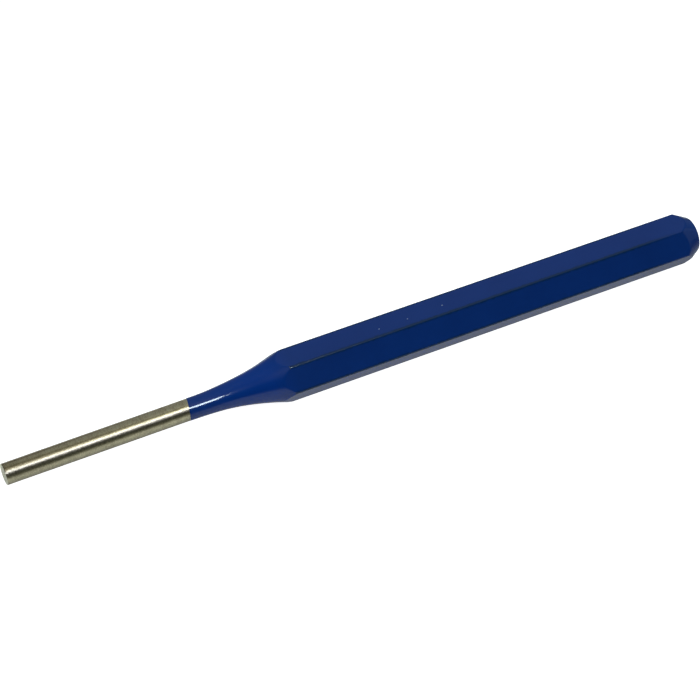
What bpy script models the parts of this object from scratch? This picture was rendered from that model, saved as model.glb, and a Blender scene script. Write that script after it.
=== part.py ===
"""Parallel pin punch: a steel bar with a turned pin, and the lacquer coat on its shank.

Metres. +X runs along the axis from the pin's working face at x = 0 to the struck head,
+Z is up, and the punch lies on one flat of its hexagonal shank.
"""

import math

import bpy
import bmesh

MM = 0.001

# Driving dimensions of the finished punch, lacquer included.
LENGTH = 152.4 * MM
ACROSS_FLATS = 9.6 * MM
CORNER_RADIUS = 0.55 * MM
FACE_RADIUS = 3.74 * MM
HEAD_CHAMFER_ANGLE = math.radians(28.7)
FLARE_START = 40.2 * MM
FLARE_ARC_RADIUS = 58.2 * MM

# The pin, which is bare steel and very slightly thicker at its root.
PIN_TIP_RADIUS = 2.10 * MM
PIN_ROOT_RADIUS = 2.15 * MM
PIN_EDGE_CHAMFER = 0.2 * MM

# The lacquer coat and the clearance that keeps it off the steel.
PAINT_LINE = 37.8 * MM
COAT_THICKNESS = 0.10 * MM
COAT_GAP = 0.05 * MM
COAT_DEPTH = COAT_THICKNESS + COAT_GAP

# How finely curves are cut into flats.
TURNED_SIDES = 72
FLARE_STEPS = 18
CORNER_STEPS = 4
PAST_THE_END = 5.0 * MM

STEEL_COLOR = (0.42, 0.40, 0.33, 1.0)
LACQUER_COLOR = (0.006, 0.030, 0.155, 1.0)


def clear_scene():
    for thing in list(bpy.data.objects):
        bpy.data.objects.remove(thing, do_unlink=True)


def make_material(name, color, roughness, metallic):
    material = bpy.data.materials.new(name)
    material.use_nodes = True
    shader = material.node_tree.nodes["Principled BSDF"]
    shader.inputs["Base Color"].default_value = color
    shader.inputs["Roughness"].default_value = roughness
    shader.inputs["Metallic"].default_value = metallic
    material.diffuse_color = color
    return material


def add_object(name, mesh_data):
    """Put a bmesh into the scene as a new object, with its faces turned outward."""
    bmesh.ops.recalc_face_normals(mesh_data, faces=mesh_data.faces)
    mesh = bpy.data.meshes.new(name)
    mesh_data.to_mesh(mesh)
    mesh_data.free()
    thing = bpy.data.objects.new(name, mesh)
    bpy.context.scene.collection.objects.link(thing)
    return thing


def make_cutter(thing):
    thing.hide_render = True
    thing.display_type = "WIRE"
    return thing


def combine(thing, cutter, operation):
    boolean = thing.modifiers.new(operation.title(), "BOOLEAN")
    boolean.operation = operation
    boolean.solver = "EXACT"
    boolean.object = cutter


def hexagon_outline(inset):
    """Points (y, z) of the rounded hexagon, drawn in from the finished surface by inset."""
    half_flats = ACROSS_FLATS / 2 - inset
    corner = CORNER_RADIUS - inset
    centre_distance = (half_flats - corner) / math.cos(math.radians(30))
    points = []
    for side in range(6):
        direction = math.radians(60 * side)
        for step in range(CORNER_STEPS + 1):
            turn = direction + math.radians(60) * (step / CORNER_STEPS - 0.5)
            y = centre_distance * math.cos(direction) + corner * math.cos(turn)
            z = centre_distance * math.sin(direction) + corner * math.sin(turn)
            points.append((y, z))
    return points


def hexagonal_bar(name, inset, start, end):
    """A length of rounded hexagonal bar with flats above and below."""
    mesh_data = bmesh.new()
    rim = [mesh_data.verts.new((start, y, z)) for y, z in hexagon_outline(inset)]
    cap = mesh_data.faces.new(rim)
    extruded = bmesh.ops.extrude_face_region(mesh_data, geom=[cap])
    moved = [item for item in extruded["geom"] if isinstance(item, bmesh.types.BMVert)]
    bmesh.ops.translate(mesh_data, verts=moved, vec=(end - start, 0, 0))
    return add_object(name, mesh_data)


def turned_bar(name, outline):
    """Spin an outline of (x, radius) points about the X axis into a closed solid."""
    mesh_data = bmesh.new()
    points = [(outline[0][0], 0.0), *outline, (outline[-1][0], 0.0)]
    line = [mesh_data.verts.new((x, radius, 0)) for x, radius in points]
    edges = [mesh_data.edges.new(pair) for pair in zip(line, line[1:])]
    bmesh.ops.spin(mesh_data, geom=line + edges, cent=(0, 0, 0), axis=(1, 0, 0),
                   angle=math.tau, steps=TURNED_SIDES, use_merge=True)
    bmesh.ops.remove_doubles(mesh_data, verts=mesh_data.verts, dist=0.001 * MM)
    return add_object(name, mesh_data)


def flare_outline(inset):
    """The hollow sweep from the pin up past the hexagon's corners, inset from the finish."""
    centre_radius = PIN_ROOT_RADIUS + COAT_DEPTH + FLARE_ARC_RADIUS
    arc_radius = FLARE_ARC_RADIUS + inset
    reach = math.radians(20)
    points = []
    for step in range(FLARE_STEPS + 1):
        angle = reach * step / FLARE_STEPS
        x = FLARE_START + arc_radius * math.sin(angle)
        points.append((x, centre_radius - arc_radius * math.cos(angle)))
    return points


def head_outline(inset):
    """The head's chamfer and flat face, inset squarely from the finished surface."""
    slope = math.tan(HEAD_CHAMFER_ANGLE)
    face_x = LENGTH - inset
    face_radius = FACE_RADIUS + inset * slope - inset / math.cos(HEAD_CHAMFER_ANGLE)
    widest = ACROSS_FLATS
    return [(face_x - (widest - face_radius) / slope, widest), (face_x, face_radius)]


def bar_outline(start, inset):
    """The turned outline from start to the head, wide enough to leave the flats alone."""
    flare = flare_outline(inset)
    return [(start, flare[0][1]), *flare, (flare[-1][0], ACROSS_FLATS), *head_outline(inset)]


def pin_outline():
    """The pin's flat working face, its broken edge and its run up to the flare."""
    return [(0.0, PIN_TIP_RADIUS - PIN_EDGE_CHAMFER), (PIN_EDGE_CHAMFER, PIN_TIP_RADIUS)]


def build_steel_punch(material):
    """The one-piece steel tool: pin, flare, hexagonal shank and chamfered head."""
    punch = hexagonal_bar("steel_punch", COAT_DEPTH, -PAST_THE_END, LENGTH + PAST_THE_END)
    outline = pin_outline() + bar_outline(FLARE_START, COAT_DEPTH)[1:]
    profile = make_cutter(turned_bar("steel_profile", outline))
    combine(punch, profile, "INTERSECT")
    punch.data.materials.append(material)
    return punch


def build_lacquer_coat(material):
    """The lacquer skin over flare, shank and head, open where the bare pin comes out."""
    coat = hexagonal_bar("lacquer_coat", 0.0, -PAST_THE_END, LENGTH + PAST_THE_END)
    outside = make_cutter(turned_bar("coat_profile", bar_outline(PAINT_LINE, 0.0)))
    combine(coat, outside, "INTERSECT")
    hollow = hexagonal_bar("coat_hollow", COAT_THICKNESS, -PAST_THE_END, LENGTH + PAST_THE_END)
    make_cutter(hollow)
    inside_outline = bar_outline(PAINT_LINE - PAST_THE_END, COAT_THICKNESS)
    inside = make_cutter(turned_bar("hollow_profile", inside_outline))
    combine(hollow, inside, "INTERSECT")
    combine(coat, hollow, "DIFFERENCE")
    coat.data.materials.append(material)
    return coat


def main():
    clear_scene()
    build_steel_punch(make_material("ground_steel", STEEL_COLOR, 0.32, 1.0))
    build_lacquer_coat(make_material("blue_lacquer", LACQUER_COLOR, 0.18, 0.0))


main()
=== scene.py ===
# Looks for the parallel pin punch: a bare ground steel pin, and glossy blue lacquer over the rest.
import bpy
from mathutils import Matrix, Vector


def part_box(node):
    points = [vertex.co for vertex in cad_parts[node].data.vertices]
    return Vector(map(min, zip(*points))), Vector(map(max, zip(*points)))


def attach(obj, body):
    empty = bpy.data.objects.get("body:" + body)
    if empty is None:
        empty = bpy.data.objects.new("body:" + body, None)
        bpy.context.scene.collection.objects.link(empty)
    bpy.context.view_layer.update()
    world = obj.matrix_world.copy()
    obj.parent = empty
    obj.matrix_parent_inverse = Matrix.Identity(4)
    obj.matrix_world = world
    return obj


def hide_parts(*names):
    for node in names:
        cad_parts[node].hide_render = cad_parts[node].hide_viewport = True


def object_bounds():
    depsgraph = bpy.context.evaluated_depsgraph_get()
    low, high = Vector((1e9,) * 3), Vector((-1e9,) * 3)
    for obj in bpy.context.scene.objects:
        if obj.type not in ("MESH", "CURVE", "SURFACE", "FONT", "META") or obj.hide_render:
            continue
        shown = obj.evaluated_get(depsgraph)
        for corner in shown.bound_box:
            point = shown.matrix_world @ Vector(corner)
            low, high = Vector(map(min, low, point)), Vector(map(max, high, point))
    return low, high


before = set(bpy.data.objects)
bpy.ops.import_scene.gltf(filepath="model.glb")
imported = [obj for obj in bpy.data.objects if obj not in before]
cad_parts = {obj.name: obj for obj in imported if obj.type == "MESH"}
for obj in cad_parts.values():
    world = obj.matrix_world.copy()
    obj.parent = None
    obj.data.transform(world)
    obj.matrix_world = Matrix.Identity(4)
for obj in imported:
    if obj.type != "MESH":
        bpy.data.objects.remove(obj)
cad_low, cad_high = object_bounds()
coat_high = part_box("lacquer_coat")[1]

import math

import bmesh
import bpy
import numpy as np
from mathutils import Matrix, Vector, noise

MM = 0.001

# ---------------------------------------------------------------- sizes, in millimetres
# Stations run along X from the pin's working face. Angles run round the axis from +Y towards
# +Z, so the near side is at half a turn, and the hexagon has a ridge at 0 and every sixth of a turn.
HEX_TURN = math.radians(60)
HALF_HEX_TURN = math.radians(30)

# The bar: the frame's length and width. The lacquer stands a shade fuller than the CAD coat.
LENGTH = coat_high[0] / MM
LACQUER_FULLNESS = 0.03
HALF_FLATS = coat_high[2] / MM + LACQUER_FULLNESS
CORNER_RADIUS = 0.48

# The pin: bare, ground, a hair thicker towards its root, with a broken edge at its tip.
PIN_TIP_RADIUS = 2.165
PIN_GROWTH = 0.0009
PIN_CHAMFER = 0.07

# The lacquered flare: radius = root - run_up * before + rise * d^2 + swell * d^3, with d the
# way past its start and before the way short of it. Past its end it no longer bounds the bar.
FLARE_START = 38.9
FLARE_ROOT_RADIUS = 2.255
FLARE_RUN_UP = 0.002
FLARE_RISE = 0.006043
FLARE_SWELL = 0.000099
FLARE_END = 64.0
CLEAR_OF_FLATS = 9.0

# The pin and flare lie a hair off the shank's axis: (station, offset), towards (+Y, +Z).
OFF_AXIS = [(0.0, -0.045), (37.5, 0.068), (39.5, 0.032), (42.5, 0.040), (45.5, 0.090),
            (48.5, 0.083), (51.0, 0.048), (53.0, 0.015), (56.0, 0.0)]
OFF_DIRECTION = (0.73, 0.68)

# Three low lobes round the ground pin, and three in the flare's lacquer that fade out.
LOBES = 3
LOBE_ANGLE = math.radians(159)
PIN_LOBE = -0.015
FLARE_LOBE = 0.020
FLARE_LOBE_FADES = (44.0, 54.0)

# The head: a turned chamfer down to the struck face, and a round between the two.
HEAD_START = LENGTH - 7.0
FACE_RADIUS = 3.74
CHAMFER = math.radians(28.7)
RIM_RADIUS = 0.40

# The chamfer is slightly uneven: cut deeper and steeper low down, and shallower on the near
# side. The sharpness says how quickly each of the two fades round the head.
LOW_SIDE = math.radians(240)
LOW_SIDE_SHARPNESS = 4
LOW_SIDE_SHIFT = -0.03
LOW_SIDE_STEEPER = 0.15
NEAR_SIDE = math.radians(145)
NEAR_SIDE_SHARPNESS = 6
NEAR_SIDE_EASE = 0.38

# Where the lacquer stops: the dip line leans, so it reaches further down the near side.
PAINT_LINE = 38.12
PAINT_LEAN = 0.42
PAINT_WANDER = 0.04
WANDER_SCALE = 2.0
WANDER_SHIFT = 7.3

# How softly the lacquer runs over the creases where turned and flat surfaces meet.
SHOULDER_SOFTNESS = 0.11
HEAD_SOFTNESS = 0.12
LOW_SIDE_SOFTNESS = 0.03

# Depth of the lacquer: thin at its edge, full further up. The shell takes up a share of the
# depth and the steel begins at its bottom, with a thin gap between them.
EDGE_DEPTH = 0.032
FULL_DEPTH = 0.15
DEEPENS = (38.5, 43.0)
SKIN_SHARE = 0.7
SKIN = FULL_DEPTH * SKIN_SHARE

# The lacquer's lip: (way back from the dip line, share of its full height over the pin), and
# the gap between its edge and the pin.
LIP = [(0.0, 0.1), (0.0, 0.45), (0.010, 0.75), (0.030, 0.94), (0.070, 1.0)]
LIP_GAP = 0.002

# The shell's hidden inner side at the rim and face: its radius is the outer one less this share
# of the skin, and at least this share of the outer one.
RIM_INSET = 0.6
RIM_LEAST = 0.5

# Unevenness of the sprayed surface, which grows over the first millimetre from the dip line.
WAVE_HEIGHT = 0.006
WAVE_LENGTH = 9.0
PEEL_HEIGHT = 0.0012
PEEL_LENGTH = 1.6
WAVES_GROW = (-0.001, 0.999)

# The steel under the lacquer: it starts behind the dip line and widens to its full size.
UNDER_LACQUER = 0.4
STEEL_CLEARANCE = 0.004
STEEL_WIDENING = 4.0
HIDDEN_FACE_SHARE = 0.97

# Rows of the mesh follow the leaning dip line up to EVEN_FROM, and are square to the bar past it.
# The shoulder is the stretch where flare and flats meet in scallops.
EVEN_FROM = 44.0
SHOULDER_START = 56.0
SHOULDER_END = 64.0
HIDDEN_SHOULDER_END = 62.0

# How many mesh steps each stretch takes: from EVEN_FROM to the shoulder, over it, on to the
# head, and over the head to the chamfer's end. The steel has one stretch up to the shoulder's end.
OUTER_STEPS = (40, 80, 60, 70)
INNER_STEPS = (12, 16, 8, 16)
STEEL_STEPS = (40, 12, 20)

# And how many rows there are before EVEN_FROM: outside and inside the lacquer, along the bare
# pin, and along the steel where it widens under the lacquer.
OUTER_ROWS = 26
INNER_ROWS = 14
PIN_ROWS = 90
UNDER_ROWS = 12

# Rings across the working face, as shares of its radius, and over its broken edge, as shares
# of a quarter turn.
FACE_RINGS = (0.12, 0.3, 0.5, 0.7, 0.88, 0.97, 1.0)
EDGE_RINGS = np.linspace(0.15, 0.85, 5)

# The distance to the nearest ridge, for the lacquer's shading: its value where there is no ridge,
# and how fast it grows once the surface lies deeper under the hexagon than the slack.
FAR_FROM_RIDGE = 9.0
DIP_WEIGHT = 6.0
DIP_SLACK = 0.02


# ---------------------------------------------------------------- shape of the surface
def soft_min(a, b, softness):
    """The smaller of a and b, with the crease between them rounded over."""
    mix = np.clip(0.5 + 0.5 * (b - a) / softness, 0, 1)
    return b * (1 - mix) + a * mix - softness * mix * (1 - mix)


def smooth_step(low, high, value):
    """0 below low, 1 above high, and an easy run between them."""
    share = np.clip((value - low) / (high - low), 0, 1)
    return share * share * (3 - 2 * share)


def corner_reach():
    """Half the angle that each rounded corner takes up, seen from the axis."""
    flat_reach = (HALF_FLATS - CORNER_RADIUS) * math.tan(HALF_HEX_TURN)
    return HALF_HEX_TURN - math.atan2(flat_reach, HALF_FLATS)


def ring_angles(arc_steps, flat_steps):
    """Angles round the bar: close together over each corner's arc, wider over the flats."""
    reach = corner_reach()
    angles = []
    for side in range(6):
        ridge = HEX_TURN * side
        start = ridge + reach
        end = ridge + HEX_TURN - reach
        angles += list(np.linspace(ridge - reach, start, arc_steps, endpoint=False))
        share = (1 - np.cos(np.linspace(0, math.pi, flat_steps, endpoint=False))) / 2
        angles += list(start * (1 - share) + end * share)
    return np.array(angles)


def angle_from_ridge(angles):
    return (angles + HALF_HEX_TURN) % HEX_TURN - HALF_HEX_TURN


def hexagon_radius(angles):
    """Distance from the axis to the rounded hexagon at each angle."""
    off = np.abs(angle_from_ridge(angles))
    flat = HALF_FLATS / np.cos(HALF_HEX_TURN - off)
    centre = (HALF_FLATS - CORNER_RADIUS) / math.cos(HALF_HEX_TURN)
    square = CORNER_RADIUS ** 2 - (centre * np.sin(off)) ** 2
    arc = centre * np.cos(off) + np.sqrt(np.maximum(square, 0))
    return np.where(off < corner_reach(), arc, flat)


def lobes(angles):
    """The lobes' height at each angle, from -1 to 1."""
    return np.cos(LOBES * (angles - LOBE_ANGLE))


def flare_radius(x):
    """Radius of the turned flare at each station, and clear of the bar past its end."""
    d = np.clip(x - FLARE_START, 0, None)
    before = np.clip(FLARE_START - x, 0, None)
    radius = FLARE_ROOT_RADIUS - FLARE_RUN_UP * before + FLARE_RISE * d ** 2 + FLARE_SWELL * d ** 3
    return np.where(x > FLARE_END, CLEAR_OF_FLATS, radius)


def off_axis(x):
    """How far the pin and flare lie off the shank's axis at each station."""
    return np.interp(x, [place for place, _ in OFF_AXIS], [offset for _, offset in OFF_AXIS])


def rim_centre():
    """Centre (x, radius) of the round that joins the chamfer to the struck face."""
    tuck = RIM_RADIUS * math.tan((math.pi / 2 - CHAMFER) / 2)
    return LENGTH - RIM_RADIUS, FACE_RADIUS - tuck


def chamfer_end():
    """Where (x, radius) the chamfer's straight line meets the rim's round."""
    centre_x, centre_r = rim_centre()
    return centre_x + RIM_RADIUS * math.sin(CHAMFER), centre_r + RIM_RADIUS * math.cos(CHAMFER)


def one_side(angles, middle, sharpness):
    """1 at the middle angle, falling to 0 away from it."""
    return np.clip(np.cos(angles - middle), 0, None) ** sharpness


def low_side(angles):
    """How much each angle belongs to the head's low side, from 0 to 1."""
    return one_side(angles, LOW_SIDE, LOW_SIDE_SHARPNESS)


def face_bulge(angles):
    """Size of the chamfer and struck face at each angle, against a true circle."""
    return 1 + LOW_SIDE_SHIFT / FACE_RADIUS * low_side(angles)


def chamfer_radius(x, angles):
    """The turned chamfer at stations x and angles."""
    end_x, end_r = chamfer_end()
    steeper = LOW_SIDE_STEEPER * low_side(angles)
    easier = NEAR_SIDE_EASE * one_side(angles, NEAR_SIDE, NEAR_SIDE_SHARPNESS)
    return end_r * face_bulge(angles) + (end_x - x) * math.tan(CHAMFER) * (1 + steeper - easier)


def bar_radius(x, angles):
    """The finished surface of flare, shank and chamfer at stations x and angles."""
    raised = FLARE_LOBE * lobes(angles) * (1 - smooth_step(*FLARE_LOBE_FADES, x))
    shaped = soft_min(flare_radius(x) + raised, hexagon_radius(angles), SHOULDER_SOFTNESS)
    softness = HEAD_SOFTNESS + (LOW_SIDE_SOFTNESS - HEAD_SOFTNESS) * low_side(angles)
    return soft_min(shaped, chamfer_radius(x, angles), softness)


def pin_radius(x, angles):
    """The ground pin at stations x and angles."""
    return PIN_TIP_RADIUS + PIN_GROWTH * x + PIN_LOBE * lobes(angles)


def lacquer_depth(x):
    """Depth from the lacquer's surface to the steel at each station."""
    return EDGE_DEPTH + (FULL_DEPTH - EDGE_DEPTH) * smooth_step(*DEEPENS, x)


def dip_line(angles):
    """Where the lacquer's edge lies at each angle round the pin."""
    wander = []
    for angle in angles:
        place = (WANDER_SCALE * math.cos(angle), WANDER_SCALE * math.sin(angle), WANDER_SHIFT)
        wander.append(noise.noise(Vector(place)))
    return PAINT_LINE + PAINT_LEAN * np.cos(angles) + PAINT_WANDER * np.array(wander)


def unevenness(points):
    """Slow waves and fine orange peel of the lacquer, as a height at each point."""
    heights = []
    for point in points:
        slow = noise.noise(Vector(point) / WAVE_LENGTH)
        fine = noise.noise(Vector(point) / PEEL_LENGTH)
        heights.append(WAVE_HEIGHT * slow + PEEL_HEIGHT * fine)
    return np.array(heights)


# ---------------------------------------------------------------- rings of points
def spread(places, steps):
    """Stations from each place to the next, in that many steps, leaving out the first place."""
    stations = []
    for start, end, count in zip(places, places[1:], steps):
        stations += list(np.linspace(start, end, count + 1)[1:])
    return stations


def between(first, last, count):
    """Rows of stations that turn from one line round the bar into another."""
    return [first * (1 - share) + last * share for share in np.linspace(0, 1, count)]


def rim_and_face(arc_steps, face_steps):
    """Stations (x, radius) over the rim's round and in across the struck face."""
    centre_x, centre_r = rim_centre()
    points = []
    for share in np.linspace(0, 1, arc_steps + 1)[1:]:
        turn = (math.pi / 2 - CHAMFER) * (1 - share)
        points.append((centre_x + RIM_RADIUS * math.cos(turn), centre_r + RIM_RADIUS * math.sin(turn)))
    for share in np.linspace(1, 0, face_steps + 1)[1:-1]:
        points.append((LENGTH, centre_r * share))
    return points


def ring(x, radius, angles):
    """One ring of points, in millimetres; x and radius are one number or one per angle."""
    x = np.broadcast_to(x, angles.shape)
    offset = off_axis(x)
    across = radius * np.cos(angles) + offset * OFF_DIRECTION[0]
    height = radius * np.sin(angles) + offset * OFF_DIRECTION[1]
    return np.stack([x, across, height], axis=1)


def corner_distance(radius, angles):
    """How far each point lies from the nearest ridge of the hexagon, along the surface."""
    along = radius * np.abs(angle_from_ridge(angles))
    dip = np.maximum(hexagon_radius(angles) - radius - DIP_SLACK, 0)
    return along + DIP_WEIGHT * dip


# ---------------------------------------------------------------- meshes
def add_object(name, data):
    """Puts a mesh, lamp or camera into the scene."""
    thing = bpy.data.objects.new(name, data)
    bpy.context.scene.collection.objects.link(thing)
    return thing


def closed_skin(name, rings, first_pole, last_pole):
    """A closed body of quads between rings, with a fan at each end."""
    count = len(rings[0])
    points = np.concatenate([*rings, [first_pole, last_pole]]) * MM
    low_pole = len(rings) * count
    high_pole = low_pole + 1
    last = low_pole - count
    following = [(i, (i + 1) % count) for i in range(count)]
    faces = []
    for here in range(0, last, count):
        there = here + count
        faces += [(here + i, here + j, there + j, there + i) for i, j in following]
    for i, j in following:
        faces.append((low_pole, j, i))
        faces.append((high_pole, last + i, last + j))
    mesh = bpy.data.meshes.new(name)
    mesh.from_pydata(points.tolist(), [], faces)
    mesh.validate()
    mesh.shade_smooth()
    return add_object(name, mesh)


def coat_lip(angles, line):
    """Stations and radii where the lacquer's edge rises from the pin."""
    rows = []
    for back, share in LIP:
        x = line + back
        base = pin_radius(x, angles)
        rows.append((x, base + (bar_radius(x, angles) - base) * share))
    return rows


def coat_outside(angles, line):
    """Stations and radii of the lacquer's outer surface, from its lip to the struck face."""
    places = (EVEN_FROM, SHOULDER_START, SHOULDER_END, HEAD_START, chamfer_end()[0])
    stations = between(line + LIP[-1][0], EVEN_FROM, OUTER_ROWS)[1:] + spread(places, OUTER_STEPS)
    rows = [(x, bar_radius(x, angles)) for x in stations]
    for x, radius in rim_and_face(arc_steps=9, face_steps=12):
        rows.append((x, radius * face_bulge(angles)))
    return rows


def coat_inside(angles, line):
    """Rings of the lacquer's hidden inner side, from its lip to the struck face."""
    rings = [ring(line, pin_radius(line, angles) + LIP_GAP, angles)]
    for x in between(line, EVEN_FROM, INNER_ROWS)[1:]:
        rings.append(ring(x, bar_radius(x, angles) - lacquer_depth(x) * SKIN_SHARE, angles))
    end = chamfer_end()[0] - FULL_DEPTH
    places = (EVEN_FROM, SHOULDER_START, HIDDEN_SHOULDER_END, HEAD_START, end)
    for x in spread(places, INNER_STEPS):
        rings.append(ring(x, bar_radius(x, angles) - SKIN, angles))
    for x, radius in rim_and_face(arc_steps=4, face_steps=4):
        rings.append(ring(x - SKIN, max(radius - SKIN * RIM_INSET, radius * RIM_LEAST), angles))
    return rings


def add_values(thing, name, values):
    """A number on each point of the mesh, for its material to read."""
    attribute = thing.data.attributes.new(name, "FLOAT", "POINT")
    attribute.data.foreach_set("value", np.asarray(values, dtype=np.float32))


def build_coat():
    """The lacquer: a closed shell whose inside follows the steel and whose lip meets the pin."""
    angles = ring_angles(arc_steps=12, flat_steps=20)
    line = dip_line(angles)
    lip = coat_lip(angles, line)
    outside = coat_outside(angles, line)
    inside = coat_inside(angles, line)
    rings = inside[::-1] + [ring(x, radius, angles) for x, radius in lip]
    for x, radius in outside:
        points = ring(x, radius, angles)
        waves = unevenness(points) * smooth_step(*WAVES_GROW, np.min(points[:, 0] - line))
        rings.append(ring(x, radius + waves, angles))
    coat = closed_skin("lacquer_shell", rings, (LENGTH - SKIN, 0, 0), (LENGTH, 0, 0))
    hidden = [FAR_FROM_RIDGE] * (len(inside) * len(angles))
    seen = [corner_distance(radius, angles) for _, radius in lip + outside]
    add_values(coat, "corner_mm", np.concatenate([hidden, *seen, [FAR_FROM_RIDGE] * 2]))
    return coat


def build_steel():
    """The steel: the bare pin with its broken edge, and the bar that carries on under the lacquer."""
    angles = ring_angles(arc_steps=4, flat_steps=20)
    start = dip_line(angles) + UNDER_LACQUER
    face_radius = PIN_TIP_RADIUS - PIN_CHAMFER
    rings = [ring(0.0, face_radius * share, angles) for share in FACE_RINGS]
    for turn in EDGE_RINGS * math.pi / 2:
        x = PIN_CHAMFER * (1 - math.cos(turn))
        rings.append(ring(x, face_radius + PIN_CHAMFER * math.sin(turn), angles))
    for x in between(PIN_CHAMFER, start, PIN_ROWS):
        rings.append(ring(x, pin_radius(x, angles), angles))
    for share in np.linspace(0, 1, UNDER_ROWS)[1:]:
        x = start * (1 - share) + EVEN_FROM * share
        under = bar_radius(x, angles) - lacquer_depth(x) - STEEL_CLEARANCE
        widened = pin_radius(x, angles) + STEEL_WIDENING * share
        rings.append(ring(x, np.minimum(under, widened), angles))
    places = (EVEN_FROM, HIDDEN_SHOULDER_END, HEAD_START, chamfer_end()[0] - FULL_DEPTH)
    for x in spread(places, STEEL_STEPS):
        rings.append(ring(x, bar_radius(x, angles) - FULL_DEPTH, angles))
    for x, radius in rim_and_face(arc_steps=4, face_steps=4):
        rings.append(ring(x - FULL_DEPTH, radius * HIDDEN_FACE_SHARE, angles))
    return closed_skin("steel_bar", rings, (0, 0, 0), (LENGTH - FULL_DEPTH, 0, 0))


# Dust caught in the wet lacquer: (station, flat, place across it, reach), with the flats
# counted from the top one towards the near side.
DUST = [
    (79.25, 0, -0.84, 0.17),
    (85.6, 0, -0.77, 0.15),
    (93.6, 0, -0.38, 0.20),
    (71.5, 4, 1.1, 0.16),
    (118.3, 5, -0.9, 0.17),
    (137.6, 4, -0.4, 0.15),
    (97.0, 5, 0.5, 0.16),
]
NIB_SHAPE = (1.0, 0.85, 0.55)
NIB_SINK = 0.01


def build_dust():
    """Low round nibs, about half sunk in the lacquer of the flats."""
    builder = bmesh.new()
    for x, flat, across, reach in DUST:
        turn = Matrix.Rotation(HEX_TURN * flat, 4, "X")
        place = Matrix.Translation(Vector((x, across, HALF_FLATS - NIB_SINK)) * MM)
        shape = Matrix.Diagonal((*(Vector(NIB_SHAPE) * reach), 1.0))
        bmesh.ops.create_icosphere(builder, subdivisions=3, radius=MM, matrix=turn @ place @ shape)
    mesh = bpy.data.meshes.new("dust_nibs")
    builder.to_mesh(mesh)
    builder.free()
    mesh.shade_smooth()
    return add_object("dust_nibs", mesh)


# ---------------------------------------------------------------- nodes
def feed(tree, socket, value):
    """Gives a socket a number, a colour or vector, or another node's output."""
    if isinstance(value, bpy.types.NodeSocket):
        tree.links.new(value, socket)
    elif socket.type == "RGBA":
        socket.default_value = (*value, 1.0)
    else:
        socket.default_value = value


def map_range(tree, value, span, result=(0.0, 1.0), smooth=False):
    """A value carried from one span to another, and held at its ends."""
    node = tree.nodes.new("ShaderNodeMapRange")
    node.interpolation_type = "SMOOTHSTEP" if smooth else "LINEAR"
    for socket, number in zip(node.inputs[:5], (value, *span, *result)):
        feed(tree, socket, number)
    return node.outputs[0]


def multiply(tree, first, second):
    """The product of two vectors or colours, number by number."""
    node = tree.nodes.new("ShaderNodeVectorMath")
    node.operation = "MULTIPLY"
    feed(tree, node.inputs[0], first)
    feed(tree, node.inputs[1], second)
    return node.outputs[0]


def mix_colours(tree, share, first, second):
    """A colour between two others."""
    node = tree.nodes.new("ShaderNodeMix")
    node.data_type = "RGBA"
    feed(tree, node.inputs["Factor"], share)
    feed(tree, node.inputs[6], first)
    feed(tree, node.inputs[7], second)
    return node.outputs[2]


def add_ramp(tree, value, stops):
    """A ramp of colours; stops are (position, colour) or (position, grey level)."""
    ramp = tree.nodes.new("ShaderNodeValToRGB")
    elements = ramp.color_ramp.elements
    elements[0].position = stops[0][0]
    elements[1].position = stops[-1][0]
    for position, _ in stops[1:-1]:
        elements.new(position)
    for element, (_, colour) in zip(elements, stops):
        channels = colour if isinstance(colour, tuple) else (colour,) * 3
        element.color = (*channels, 1.0)
    tree.links.new(value, ramp.inputs[0])
    return ramp.outputs["Color"]


class Nodes:
    """A material's node tree, with short calls to add and join nodes. Places are in millimetres."""

    def __init__(self, name):
        self.material = bpy.data.materials.new(name)
        self.material.use_nodes = True
        self.tree = self.material.node_tree
        self.shader = self.tree.nodes["Principled BSDF"]
        coordinates = self.add("ShaderNodeTexCoord")
        self.place = multiply(self.tree, coordinates.outputs["Object"], (1 / MM,) * 3)
        self.split = self.add("ShaderNodeSeparateXYZ")
        self.join(self.place, self.split.inputs[0])

    def add(self, kind, **settings):
        node = self.tree.nodes.new(kind)
        for key, value in settings.items():
            setattr(node, key, value)
        return node

    def join(self, output, socket):
        self.tree.links.new(output, socket)

    def shade(self, socket, output):
        """Joins an output to one of the shader's own sockets."""
        self.join(output, self.shader.inputs[socket])

    def along(self, axis):
        """The place along X, Y or Z."""
        return self.split.outputs[axis]

    def noise(self, scale, detail=3.0, rough=0.55, shift=0.0, stretch=(1.0, 1.0, 1.0)):
        """Noise over the place; a stretch under 1 draws it out along that axis."""
        node = self.add("ShaderNodeTexNoise", noise_dimensions="4D")
        node.inputs["Scale"].default_value = scale
        node.inputs["Detail"].default_value = detail
        node.inputs["Roughness"].default_value = rough
        node.inputs["W"].default_value = shift
        self.join(multiply(self.tree, self.place, stretch), node.inputs["Vector"])
        return node.outputs["Fac"]

    def ranged(self, value, span, result=(0.0, 1.0), smooth=False):
        return map_range(self.tree, value, span, result, smooth)

    def math(self, operation, *values):
        """Arithmetic on numbers and other nodes' outputs."""
        node = self.add("ShaderNodeMath", operation=operation)
        for socket, value in zip(node.inputs, values):
            feed(self.tree, socket, value)
        return node.outputs[0]

    def weighed(self, first, second, share):
        """The first value's share, with the rest made up of the second."""
        return self.math("ADD", self.math("MULTIPLY", first, share),
                         self.math("MULTIPLY", second, 1 - share))

    def blend(self, share, first, second):
        return mix_colours(self.tree, share, first, second)

    def bump(self, height, distance):
        """Relief of a depth in millimetres, for the shader's normal."""
        node = self.add("ShaderNodeBump")
        node.inputs["Strength"].default_value = 1.0
        node.inputs["Distance"].default_value = distance * MM
        self.join(height, node.inputs["Height"])
        self.shade("Normal", node.outputs["Normal"])


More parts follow.
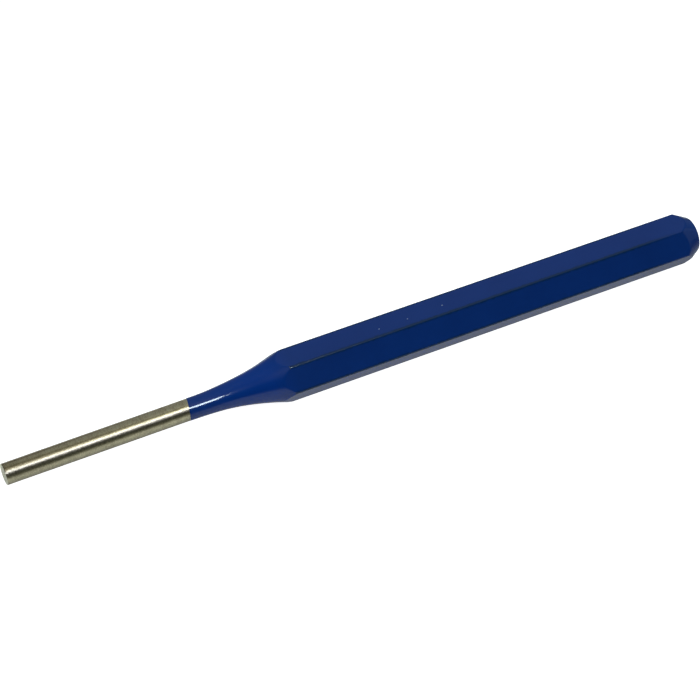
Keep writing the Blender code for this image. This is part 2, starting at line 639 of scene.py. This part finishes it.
# ---------------------------------------------------------------- ground steel
# Pairs of ranges are (span of the value, span of the result).
STEEL_LIGHT = (0.55, 0.517, 0.338)
STEEL_DARK = (0.35, 0.322, 0.207)
FINE_MARKS = {"stretch": (1.0, 0.45, 0.45), "scale": 5.5, "rough": 0.7}
COARSE_MARKS = {"stretch": (1.0, 0.10, 0.10), "scale": 0.9, "shift": 4.0}
PATCHES = {"stretch": (0.5, 0.8, 0.8), "scale": 1.0, "shift": 9.0}
FINE_SHARE = 0.75
MARKS_SHARE = 0.85
TONE_SPAN = (0.42, 0.58)
STEEL_ROUGHNESS = ((0.35, 0.65), (0.35, 0.41))
MARK_DEPTH = 0.003
STEEL_ANISOTROPY = 0.35
ANISOTROPY_TURN = 0.25

# Painted light and shade along the pin, from its underside to its top: bands of the steel's highlights
# and reflections put into its colour (height in mm, colour multiplier).
PIN_PAINTED_SHADING = [
    (-0.70, (0.88, 0.85, 0.90)),
    (-0.10, (1.08, 1.04, 1.08)),
    (0.50, (1.34, 1.28, 1.30)),
    (0.80, (1.13, 1.06, 1.00)),
    (1.05, (0.90, 0.84, 0.76)),
    (1.35, (0.66, 0.59, 0.64)),
    (1.58, (0.91, 0.81, 1.03)),
    (1.75, (0.94, 0.82, 0.97)),
    (1.94, (1.50, 1.34, 1.30)),
    (2.08, (1.06, 0.97, 0.78)),
    (2.17, (2.10, 2.08, 2.10)),
]

# Painted light on the working face, coloured paler than the pin's sides for the light it catches, and
# where it gives way to them.
FACE_PAINTED_LIGHT = (1.65, 1.67, 1.95)
FACE_REACH = ((0.01, 0.08), (1.0, 0.0))


def painted_steel_light(n):
    """The steel's painted light and shade by height over the pin, and the painted light on the working
    face.
    """
    low = PIN_PAINTED_SHADING[0][0]
    top = PIN_PAINTED_SHADING[-1][0]
    stops = [((height - low) / (top - low), colour) for height, colour in PIN_PAINTED_SHADING]
    painted_bands = add_ramp(n.tree, n.ranged(n.along("Z"), (low, top)), stops)
    return n.blend(n.ranged(n.along("X"), *FACE_REACH), painted_bands, FACE_PAINTED_LIGHT)


def ground_steel():
    """Hardened steel, ground round its axis: fine marks that run round the pin."""
    n = Nodes("ground_steel")
    marks = n.weighed(n.noise(**FINE_MARKS), n.noise(**COARSE_MARKS), FINE_SHARE)
    tone = n.weighed(marks, n.noise(**PATCHES), MARKS_SHARE)
    metal = n.blend(n.ranged(tone, TONE_SPAN), STEEL_DARK, STEEL_LIGHT)
    # The steel's colour is multiplied by painted light and shade: bands by height, and a paler working
    # face.
    n.shade("Base Color", multiply(n.tree, metal, painted_steel_light(n)))
    n.shade("Roughness", n.ranged(marks, *STEEL_ROUGHNESS))
    n.bump(marks, MARK_DEPTH)
    around = n.add("ShaderNodeTangent", direction_type="RADIAL", axis="X")
    n.shade("Tangent", around.outputs["Tangent"])
    n.shader.inputs["Anisotropic"].default_value = STEEL_ANISOTROPY
    n.shader.inputs["Anisotropic Rotation"].default_value = ANISOTROPY_TURN
    n.shader.inputs["Metallic"].default_value = 1.0
    return n.material


# ---------------------------------------------------------------- blue lacquer
LACQUER_BLUE = (0.0029, 0.0318, 0.182)
LACQUER_DEEP = (0.0024, 0.0288, 0.168)
CLOUD = {"scale": 0.12, "detail": 2.0}
CLOUD_SPAN = (0.35, 0.65)
LACQUER_IOR = 1.5

# Painted light: the flare is coloured a shade lighter, by station, for the brighter light it catches.
FLARE_PAINTED_LIGHT_BLUE = (0.0018, 0.035, 0.228)
FLARE_BEGINS = ((40.0, 50.0), (0.2, 1.0))
FLARE_FADES = ((55.0, 60.0), (1.0, 0.0))

# Thin lacquer over the ridges, by ragged distance from them, and less of it near the head.
THIN_LACQUER = (0.0010, 0.022, 0.076)
RAGGED = {"stretch": (0.6, 1.0, 1.0), "scale": 2.2, "detail": 4.0, "shift": 2.0}
RAGGED_REACH = ((0.3, 0.7), (-0.10, 0.14))
THIN_REACH = ((0.10, 0.58), (1.0, 0.0))
THIN_BY_HEAD = ((138.0, 147.5), (1.0, 0.1))

# Flecks worn through to the steel, on the ridges near the shoulder.
BARE_FLECK = (0.30, 0.27, 0.17)
FLECKS = {"stretch": (0.7, 1.0, 1.0), "scale": 5.5, "detail": 2.0, "shift": 6.0}
FLECK_SPAN = ((0.67, 0.72), (0.0, 0.5))
FLECK_REACH = ((0.06, 0.18), (1.0, 0.0))
RUBBED_STRETCH = ((66.0, 75.0), (1.0, 0.0))
WORN_ROUGHNESS = 0.2

# The small rubbed spot where each of the two upper ridges begins: partly wear, and partly a painted
# glint in its pale bluish colour.
GLINT_NICK_PLACE = 58.65
GLINT_NICK_COLOUR = (0.62, 0.80, 0.90)
GLINT_NICK_LENGTH = ((0.15, 0.38), (0.9, 0.0))
GLINT_NICK_WIDTH = ((0.15, 0.35), (1.0, 0.0))
GLINT_NICK_HEIGHT = (4.0, 4.3)

# How the gloss varies, and the fine orange peel.
SMEARS = {"scale": 0.5, "shift": 3.0}
LACQUER_ROUGHNESS = ((0.3, 0.7), (0.09, 0.13))
PEEL = {"scale": 0.7, "detail": 2.0, "shift": 5.0}
PEEL_DEPTH = 0.0015


def whole_lacquer(n, distance):
    """The lacquer's colour where it isn't worn, with painted light on the flare."""
    cloud = n.noise(**CLOUD)
    blue = n.blend(n.ranged(cloud, CLOUD_SPAN), LACQUER_BLUE, LACQUER_DEEP)
    flare_painted_light = n.math("MULTIPLY", n.ranged(n.along("X"), *FLARE_BEGINS),
                      n.ranged(n.along("X"), *FLARE_FADES))
    blue = n.blend(flare_painted_light, blue, FLARE_PAINTED_LIGHT_BLUE)
    reach = n.math("ADD", distance, n.ranged(n.noise(**RAGGED), *RAGGED_REACH))
    thin = n.ranged(reach, *THIN_REACH, smooth=True)
    by_head = n.ranged(n.along("X"), *THIN_BY_HEAD)
    return n.blend(n.math("MULTIPLY", thin, by_head), blue, THIN_LACQUER)


def glint_nicks(n, distance):
    """How bare the rubbed spots at the start of the upper ridges are, from 0 to 1; their pale bluish
    colour is a painted glint.
    """
    off = n.math("ABSOLUTE", n.math("SUBTRACT", n.along("X"), GLINT_NICK_PLACE))
    spot = n.math("MULTIPLY", n.ranged(off, *GLINT_NICK_LENGTH), n.ranged(distance, *GLINT_NICK_WIDTH))
    return n.math("MULTIPLY", spot, n.ranged(n.along("Z"), GLINT_NICK_HEIGHT))


def flecks(n, distance):
    """How bare the worn flecks on the ridges are, from 0 to 1."""
    on_ridge = n.math("MULTIPLY", n.ranged(distance, *FLECK_REACH),
                      n.ranged(n.along("X"), *RUBBED_STRETCH))
    return n.math("MULTIPLY", n.ranged(n.noise(**FLECKS), *FLECK_SPAN), on_ridge)


def blue_lacquer():
    """Glossy deep blue, thin and dark over the ridges, with a few specks worn through there, a rubbed
    spot coloured as a painted glint where each upper ridge begins, and painted light on the flare.
    """
    n = Nodes("blue_lacquer")
    distance = n.add("ShaderNodeAttribute", attribute_name="corner_mm").outputs["Fac"]
    glint_nick = glint_nicks(n, distance)
    # The worn mask holds the real flecks and the rubbed spots, whose colour is a painted glint.
    worn = n.math("MAXIMUM", flecks(n, distance), glint_nick)
    bare = n.blend(glint_nick, BARE_FLECK, GLINT_NICK_COLOUR)
    n.shade("Base Color", n.blend(worn, whole_lacquer(n, distance), bare))
    n.shade("Metallic", worn)
    gloss = n.ranged(n.noise(**SMEARS), *LACQUER_ROUGHNESS)
    n.shade("Roughness", n.math("ADD", gloss, n.math("MULTIPLY", worn, WORN_ROUGHNESS)))
    n.bump(n.noise(**PEEL), PEEL_DEPTH)
    n.shader.inputs["IOR"].default_value = LACQUER_IOR
    return n.material


# The dust specks' colours: paler than the lacquer, partly their own colour and partly a painted glint
# for the lamp light they catch.
DUST_GLINT_PALE = (0.20, 0.27, 0.46)
DUST_GLINT_DULL = (0.12, 0.18, 0.36)
DUST_MOTTLE = {"scale": 6.0}
DUST_SPAN = (0.4, 0.6)
DUST_ROUGHNESS = 0.2


def dust_and_glint():
    """Specks of dust sealed under the gloss, coloured paler than the lacquer round them, partly as a
    painted glint.
    """
    n = Nodes("dust_and_glint")
    mottle = n.ranged(n.noise(**DUST_MOTTLE), DUST_SPAN)
    n.shade("Base Color", n.blend(mottle, DUST_GLINT_DULL, DUST_GLINT_PALE))
    n.shader.inputs["Roughness"].default_value = DUST_ROUGHNESS
    return n.material


# ---------------------------------------------------------------- floor
WHITE = (1.0, 1.0, 1.0)
BLACK = (0.0, 0.0, 0.0)
FLOOR_SIZE = 6.0
FLOOR_DROP = 0.04
FLOOR_GREY = (0.588, 0.583, 0.602)
FLOOR_ROUGHNESS = 0.9
FLOOR_GLOW = 0.15
FLOOR_GLOW_SEEN = 1.0

# The lit part of the floor, in millimetres: full brightness inside, falling off past it.
POOL_CENTRE = (68.0, 40.0)
POOL_REACH = (105.0, 75.0)
POOL_EDGE = (0.85, 1.35)
POOL_DIM = 0.20


def light_pool(tree):
    """How brightly each spot of the floor is lit: full under the tool, dim further off."""
    place = tree.nodes.new("ShaderNodeTexCoord")
    spot = tree.nodes.new("ShaderNodeMapping")
    spot.vector_type = "POINT"
    for axis in (0, 1):
        spot.inputs["Scale"].default_value[axis] = 1 / (POOL_REACH[axis] * MM)
        spot.inputs["Location"].default_value[axis] = -POOL_CENTRE[axis] / POOL_REACH[axis]
    spot.inputs["Scale"].default_value[2] = 0.0
    tree.links.new(place.outputs["Object"], spot.inputs["Vector"])
    distance = tree.nodes.new("ShaderNodeVectorMath")
    distance.operation = "LENGTH"
    tree.links.new(spot.outputs[0], distance.inputs[0])
    return map_range(tree, distance.outputs["Value"], POOL_EDGE, (1.0, POOL_DIM), smooth=True)


def white_floor():
    """A plain pale floor. Looked at directly it is white, and the tool sees it only where it is lit."""
    material = bpy.data.materials.new("white_floor")
    material.use_nodes = True
    tree = material.node_tree
    shader = tree.nodes["Principled BSDF"]
    lit = light_pool(tree)
    feed(tree, shader.inputs["Base Color"], mix_colours(tree, lit, BLACK, FLOOR_GREY))
    feed(tree, shader.inputs["Roughness"], FLOOR_ROUGHNESS)
    feed(tree, shader.inputs["Specular IOR Level"], 0.0)
    glow = map_range(tree, lit, (0.0, 1.0), (0.0, FLOOR_GLOW))
    rays = tree.nodes.new("ShaderNodeLightPath")
    shown = map_range(tree, rays.outputs["Is Camera Ray"], (0.0, 1.0), (glow, FLOOR_GLOW_SEEN))
    feed(tree, shader.inputs["Emission Strength"], shown)
    feed(tree, shader.inputs["Emission Color"], WHITE)
    return material


def build_floor():
    builder = bmesh.new()
    bmesh.ops.create_grid(builder, x_segments=1, y_segments=1, size=FLOOR_SIZE / 2)
    mesh = bpy.data.meshes.new("floor")
    builder.to_mesh(mesh)
    builder.free()
    mesh.materials.append(white_floor())
    floor = add_object("floor", mesh)
    floor.location.z = cad_low[2] - FLOOR_DROP * MM


# ---------------------------------------------------------------- room, lamps and camera
# The room's levels by the height of the direction, from level (0) to straight up (1), and its
# shading from left (0) to right (1), for the near half and the far half. Below level it is as
# dim as at level.
NEAR_SKY = [(0.0, 0.045), (0.50, 0.05), (0.65, 0.12), (0.90, 0.80), (0.97, 0.66), (1.0, 0.36)]
FAR_SKY = [(0.0, (0.21, 0.22, 0.28)), (0.55, 0.20), (0.75, 0.22), (0.85, 0.21), (0.97, 0.26),
           (1.0, 0.34)]
NEAR_SIDES = [(0.30, 0.45), (0.42, 0.15), (0.52, 0.25), (0.60, 1.0), (0.625, 1.0), (0.66, 0.55),
              (0.80, 0.5), (0.90, (0.4, 0.6, 0.9))]
FAR_SIDES = [(0.50, 0.45), (0.60, 1.0), (0.75, 1.0), (0.85, 0.35), (0.92, (0.6, 0.85, 1.2))]

# Where the near half turns into the far half, by the direction's Y.
NEAR_TO_FAR = (-0.25, 0.15)


def sky_side(tree, direction, heights, sides):
    """Half of the room: its levels by height, times its shading from left to right."""
    level = add_ramp(tree, direction.outputs["Z"], heights)
    from_left = map_range(tree, direction.outputs["X"], (-1.0, 1.0))
    return multiply(tree, level, add_ramp(tree, from_left, sides))


def build_room():
    """The room's dim light: darkest low on the near side, paler overhead. Seen directly it is white."""
    world = bpy.data.worlds.new("studio")
    bpy.context.scene.world = world
    world.use_nodes = True
    tree = world.node_tree
    direction = tree.nodes.new("ShaderNodeTexCoord")
    split = tree.nodes.new("ShaderNodeSeparateXYZ")
    tree.links.new(direction.outputs["Generated"], split.inputs[0])
    near = sky_side(tree, split, NEAR_SKY, NEAR_SIDES)
    far = sky_side(tree, split, FAR_SKY, FAR_SIDES)
    depth = map_range(tree, split.outputs["Y"], NEAR_TO_FAR, smooth=True)
    room = mix_colours(tree, depth, near, far)
    rays = tree.nodes.new("ShaderNodeLightPath")
    seen = mix_colours(tree, rays.outputs["Is Camera Ray"], room, WHITE)
    feed(tree, tree.nodes["Background"].inputs["Color"], seen)


# Lamps: places, aims and sizes in millimetres, and power in watts.
MIDDLE = (76, 0, 0)
LAMPS = {
    "key_lamp": {"place": (168.5, -387, 582), "aim": MIDDLE, "width": 131, "height": 157,
                 "power": 1.38, "colour": (1.0, 1.19, 1.31)},
    "top_fill": {"place": (80, 250, 700), "aim": MIDDLE, "width": 400, "height": 400,
                 "power": 1.5, "colour": (1.0, 1.22, 1.08)},
    "left_fill": {"place": (-560, -60, 330), "aim": MIDDLE, "width": 300, "height": 300,
                  "power": 0.8, "colour": (1.0, 1.0, 1.0)},
    "right_panel": {"place": (570, -200, 100), "aim": (150, 0, 0), "width": 400, "height": 180,
                    "power": 0.048, "colour": (0.80, 0.95, 1.0)},
}
UNSEEN_IN_GLOSS = ("top_fill", "left_fill")


def add_lamp(name, place, aim, width, height, power, colour):
    """A soft rectangular lamp that faces its aim, with its width level."""
    lamp = bpy.data.lights.new(name, "AREA")
    lamp.shape = "RECTANGLE"
    lamp.size = width * MM
    lamp.size_y = height * MM
    lamp.energy = power
    lamp.color = colour
    thing = add_object(name, lamp)
    thing.location = Vector(place) * MM
    thing.rotation_euler = (Vector(aim) - Vector(place)).to_track_quat("-Z", "Y").to_euler()
    thing.visible_glossy = name not in UNSEEN_IN_GLOSS


# The camera: places in millimetres, and a long lens on a 36 mm frame.
CAMERA_PLACE = (-67.4, -304.72, 328.66)
CAMERA_AIM = (73.175, 0.0, 0.938)
CAMERA_ROLL = math.radians(-1.358)
CAMERA_LENS = 121.0
CAMERA_FRAME = 36.0
CAMERA_CLIP = (0.01, 20.0)


def build_camera():
    """The photograph's viewpoint: above and to the side of the pin's end, through a long lens."""
    place = Vector(CAMERA_PLACE)
    forward = (Vector(CAMERA_AIM) - place).normalized()
    level = forward.cross(Vector((0, 0, 1))).normalized()
    upright = level.cross(forward)
    right = level * math.cos(CAMERA_ROLL) + upright * math.sin(CAMERA_ROLL)
    up = upright * math.cos(CAMERA_ROLL) - level * math.sin(CAMERA_ROLL)
    camera = bpy.data.cameras.new("camera")
    camera.lens = CAMERA_LENS
    camera.sensor_width = CAMERA_FRAME
    camera.clip_start, camera.clip_end = CAMERA_CLIP
    thing = add_object("camera", camera)
    axes = Matrix((right, up, -forward)).transposed()
    thing.matrix_world = Matrix.Translation(place * MM) @ axes.to_4x4()
    bpy.context.scene.camera = thing


# ---------------------------------------------------------------- putting it together
def main():
    steel = build_steel()
    steel.data.materials.append(ground_steel())
    coat = build_coat()
    coat.data.materials.append(blue_lacquer())
    dust = build_dust()
    dust.data.materials.append(dust_and_glint())
    for piece in (steel, coat, dust):
        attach(piece, "root")
    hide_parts("steel_punch")
    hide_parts("lacquer_coat")
    build_floor()
    build_room()
    for name, settings in LAMPS.items():
        add_lamp(name, **settings)
    build_camera()
    bpy.context.scene.view_settings.view_transform = "Standard"


main()
